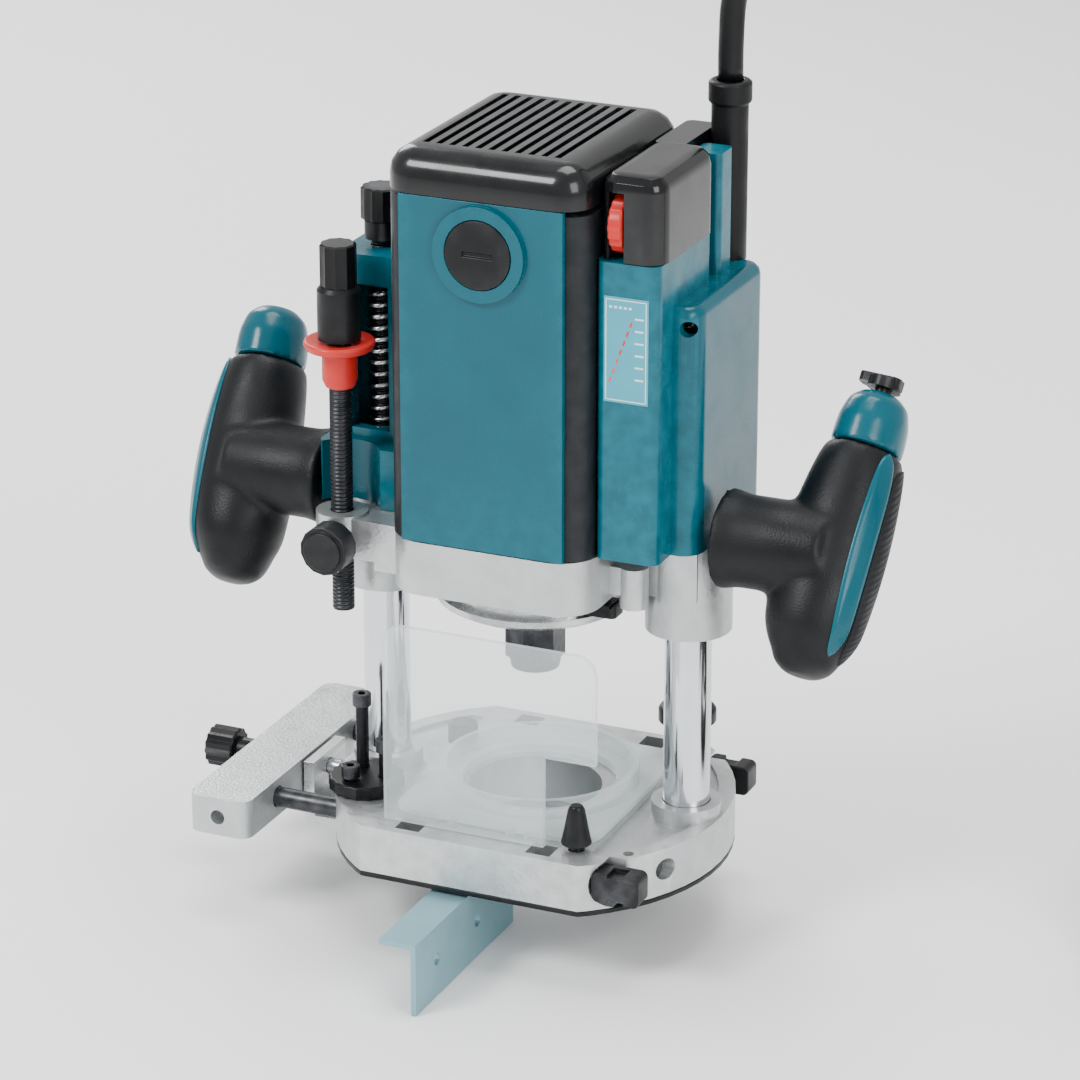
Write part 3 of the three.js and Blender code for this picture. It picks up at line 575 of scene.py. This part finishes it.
REFINED = {  # node: finish, edge rounding in mm
    "base_casting": ("cast", 0.8), "sole_plate": ("black", 0.4), "column_left": ("chrome", 0.4),
    "column_right": ("chrome", 0.4), "limit_rod": ("thread", 0.3), "dust_ring": ("clear", 0.3),
    "chip_deflector": ("clear", 0.3), "plate_knob": ("black", 0.5), "cone_knob": ("black", 0.5),
    "rear_knob": ("black", 0.5), "limit_knob": ("black", 0.5), "rod_clamp_front": ("black", 0.7),
    "rod_clamp_rear": ("black", 0.7), "turret_disc": ("black", 0.5), "stop_bolt_tall": ("black_steel", 0.3),
    "stop_bolt_middle": ("black_steel", 0.3), "stop_bolt_low": ("black_steel", 0.3), "guide_bar": ("cast", 0.9),
    "guide_rod_front": ("black_steel", 0.4), "guide_rod_rear": ("black_steel", 0.4), "feed_knob": ("black", 0.5),
    "feed_screw": ("steel", 0.3), "fence": ("pale", 0.3), "fence_carriage": ("machined", 0.4),
    "motor_bracket": ("cast", 1.0), "bearing_retainer": ("machined", 0.5), "field_case": ("charcoal", 0.8),
    "front_panel": ("teal", 0.9), "rear_panel": ("teal", 0.9), "brush_cap_front": ("black", 0.5),
    "brush_cap_rear": ("black", 0.5), "top_cap": ("gloss_black", 0.6), "left_tower": ("teal", 1.4),
    "right_tower": ("teal", 1.4), "control_cover": ("gloss_black", 1.2), "speed_dial": ("red", 0.4),
    "cord_guard": ("rubber", 0.5), "lock_lever": ("black", 0.6),
    "plunge_lock_lever": ("black", 0.8), "shaft_lock": ("black", 0.6), "stop_pole": ("thread", 0.3),
    "stop_pointer": ("red", 0.4), "fine_adjust_knob": ("black", 0.5), "pole_clamp_knob": ("black", 0.5),
    "collet_nut": ("black_steel", 0.5), "collet": ("steel", 0.2),
}  # fmt: skip
CARRIED = {  # nodes that keep their own mesh: finish
    "stator": "steel", "lower_bearing": "steel", "spindle_shaft": "steel", "armature": "winding", "plug": "rubber",
}  # fmt: skip


def make_trigger():
    """The trigger is a little smaller than its node, so that it can slide in the softened grip."""
    trigger = refined("trigger", "black", 0.9)
    inset = trigger.modifiers.new("Inset", "DISPLACE")
    inset.strength, inset.mid_level = -0.6 * MM, 0
    trigger.modifiers.move(2, 0)  # before the edges are rounded


for node, (finish, rounding) in REFINED.items():
    refined(node, finish, rounding)
make_trigger()
for side in SIDES:
    make_cap(side)
GRIP_SURFACE = {side: make_grip(side) for side in SIDES}
for node, finish in CARRIED.items():
    NODES[node].data.materials.clear()
    NODES[node].data.materials.append(FINE[finish])


# ------------------------------------------------------------------ grip inlays
PATCH_ROWS, PATCH_COLUMNS = 44, 14
PATCH_DEPTH = 0.8  # how deep a patch goes into the grip
RAY_START = 40  # the grip's surface is looked for from this far off the bar's axis


def on_grip(side, along, angle):
    """The point of a grip's surface, and the way out of it, at a height along the bar and an angle round it."""
    out = GRIP_SIDE * math.cos(angle) + GRIP_BACK * math.sin(angle)
    start = mirrored(GRIP_FOOT + GRIP_AXIS * along + out * RAY_START, side)
    out = mirrored(out, side)
    return GRIP_SURFACE[side].ray_cast(start * MM, -out)[0], out


def grip_patch(side, name, finish, bottom, top, middle, width, proud):
    """A closed skin laid on a grip, from bottom to top along its bar.

    middle and width give its angle round the bar in degrees, at t 0 to 1. It stands proud
    of the grip, least at its edges.
    """
    inner, outer = [], []
    for i in range(PATCH_ROWS + 1):
        t = i / PATCH_ROWS
        end = math.sqrt(max(1 - (2 * t - 1) ** 8, 0))  # rounds the patch's ends
        for k in range(PATCH_COLUMNS + 1):
            angle = math.radians(middle(t) + width(t) * end * (k / PATCH_COLUMNS - 0.5))
            hit, out = on_grip(side, bottom + (top - bottom) * t, angle)
            edge = min(k, PATCH_COLUMNS - k, 2) / 2
            inner.append(tuple(hit - out * PATCH_DEPTH * MM))
            outer.append(tuple(hit + out * proud * (0.35 + 0.65 * edge) * MM))
    count, wide = len(inner), PATCH_COLUMNS + 1
    faces = []
    for i in range(PATCH_ROWS):
        for k in range(PATCH_COLUMNS):
            a = i * wide + k
            faces.append((a, a + wide, a + wide + 1, a + 1))
            faces.append((count + a, count + a + 1, count + a + wide + 1, count + a + wide))
    rim = [*range(PATCH_COLUMNS)]
    rim += [i * wide + PATCH_COLUMNS for i in range(PATCH_ROWS)]
    rim += [PATCH_ROWS * wide + k for k in range(PATCH_COLUMNS, 0, -1)]
    rim += [i * wide for i in range(PATCH_ROWS, 0, -1)]
    for a, b in zip(rim, rim[1:] + rim[:1]):
        faces.append((a, b, count + b, count + a))
    mesh = bpy.data.meshes.new(name)
    mesh.from_pydata(inner + outer, [], faces)
    shape = bmesh.new()
    shape.from_mesh(mesh)
    bmesh.ops.remove_doubles(shape, verts=shape.verts, dist=1e-6)  # the pointed ends' doubled vertices
    bmesh.ops.recalc_face_normals(shape, faces=shape.faces)
    shape.to_mesh(mesh)
    shape.free()
    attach(new_object(f"{name}_{side}", mesh, FINE[finish]), "head")


def bowed(angle):
    """An angle round the bar that swings 8 degrees forward in the middle of its length."""
    return lambda t: angle - 8 * math.sin(math.pi * t)


for side in SIDES:
    grip_patch(side, "grip_inlay", "teal", 9, 87, bowed(-38), lambda t: 24 + 6 * t, proud=0.9)
    grip_patch(side, "grip_pad", "pad", 8, 84, bowed(8), lambda t: 62, proud=0.7)


# ------------------------------------------------------------------ speed label on the right tower
LABEL_Y = -38.0  # the tower's front face
LABEL_X, LABEL_Z = 52.6, 216  # the label's middle
MARK_RISE, MARK_THICK = 0.32, 0.2


def flat_marks(name, finish, slabs, rise=MARK_RISE, thick=MARK_THICK):
    """Thin slabs on the tower's front, each (x centre, z centre, width, height, turn in degrees)."""
    shape = bmesh.new()
    for x, z, wide, high, turned_by in slabs:
        place = Matrix.Translation((x * MM, (LABEL_Y - rise + thick / 2) * MM, z * MM))
        place = place @ Matrix.Rotation(math.radians(turned_by), 4, "Y")
        place = place @ Matrix.Diagonal((wide * MM, thick * MM, high * MM, 1))
        bmesh.ops.create_cube(shape, size=1, matrix=place)
    piece = new_object(name, mesh_of(shape, name), FINE[finish])
    for face in piece.data.polygons:
        face.use_smooth = False
    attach(piece, "head")
    return piece


def make_label():
    """A film with a frame, a row of dots, a scale of ticks and a dashed slope, with no lettering."""
    plate = flat_marks("label_plate", "label", [(LABEL_X, LABEL_Z, 17.4, 40, 0)], rise=0.25, thick=0.6)
    edges = plate.modifiers.new("Edges", "BEVEL")
    edges.width, edges.segments = 0.15 * MM, 2
    line = 0.35
    marks = [(LABEL_X, LABEL_Z + z, 15.6, line, 0) for z in (19, -19)]
    marks += [(LABEL_X + x, LABEL_Z, line, 38, 0) for x in (-7.8, 7.8)]
    marks += [(57.8, 228.5 - 4.6 * k, 3.4, 0.7, 0) for k in range(6)]
    marks += [(46.6 + 1.9 * k, 232.2, 1.1, 0.9, 0) for k in range(5)]
    flat_marks("label_marks", "white", marks)
    flat_marks("label_slope", "red", [(46.4 + 1.35 * k, 204.5 + 3.6 * k, 0.8, 2.1, 20) for k in range(7)])


make_label()


# ------------------------------------------------------------------ plunge springs
SPRING_FOOT, SPRING_RADIUS, SPRING_WIRE, SPRING_TURNS = 8, 5.25, 0.95, 46
POINTS_PER_TURN = 14


def make_spring(side, x, top):
    """A coil spring up to the height top."""
    steps = SPRING_TURNS * POINTS_PER_TURN
    path = []
    for k in range(steps + 1):
        turn = 2 * math.pi * SPRING_TURNS * k / steps
        rise = (top - SPRING_FOOT - 2 * SPRING_WIRE) * k / steps
        point = (x + SPRING_RADIUS * math.cos(turn), SPRING_RADIUS * math.sin(turn), SPRING_FOOT + SPRING_WIRE + rise)
        path.append(Vector(point) * MM)
    spring = new_object(f"spring_{side}", tube(path, SPRING_WIRE * MM, 6), FINE["steel"])
    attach(spring, "base")
    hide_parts(f"plunge_spring_{side}")
    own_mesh(spring)


make_spring("left", -63, 219.5)
make_spring("right", 63, 224)


# ------------------------------------------------------------------ stage and lights
def make_stage():
    half = 9
    mesh = bpy.data.meshes.new("floor")
    mesh.from_pydata([(-half, -half, 0), (half, -half, 0), (half, half, 0), (-half, half, 0)], [], [(0, 1, 2, 3)])
    paper = Finish("paper_floor", srgb(244, 244, 244), 0.75).drift(0.005, 4).relief(300, 0.02, 0.0002)
    floor = new_object("floor", mesh, paper.done())
    floor.location.z = FLOOR - 0.0004  # just under what stands on it


LIT_POINT = Vector((0, 0, 0.12))


def lamp(name, at, size, power):
    """A soft rectangular light that faces the tool."""
    data = bpy.data.lights.new(name, "AREA")
    data.shape, data.size, data.size_y, data.energy = "RECTANGLE", size[0], size[1], power
    light = bpy.data.objects.new(name, data)
    bpy.context.scene.collection.objects.link(light)
    light.location = at
    light.rotation_euler = (LIT_POINT - Vector(at)).to_track_quat("-Z", "Y").to_euler()


def make_world():
    world = bpy.data.worlds.new("World")
    world.use_nodes = True
    background = world.node_tree.nodes["Background"]
    background.inputs["Color"].default_value = (1, 1, 1, 1)
    background.inputs["Strength"].default_value = 0.85
    bpy.context.scene.world = world


make_stage()
make_world()
lamp("key", (-0.9, -1.3, 1.6), (0.7, 0.7), 40)
lamp("fill", (1.5, -0.9, 0.9), (0.8, 1.0), 20)
lamp("top", (0.1, 0.3, 1.9), (1.0, 1.0), 26)
lamp("rim", (-1.2, 1.2, 1.0), (0.6, 0.9), 16)
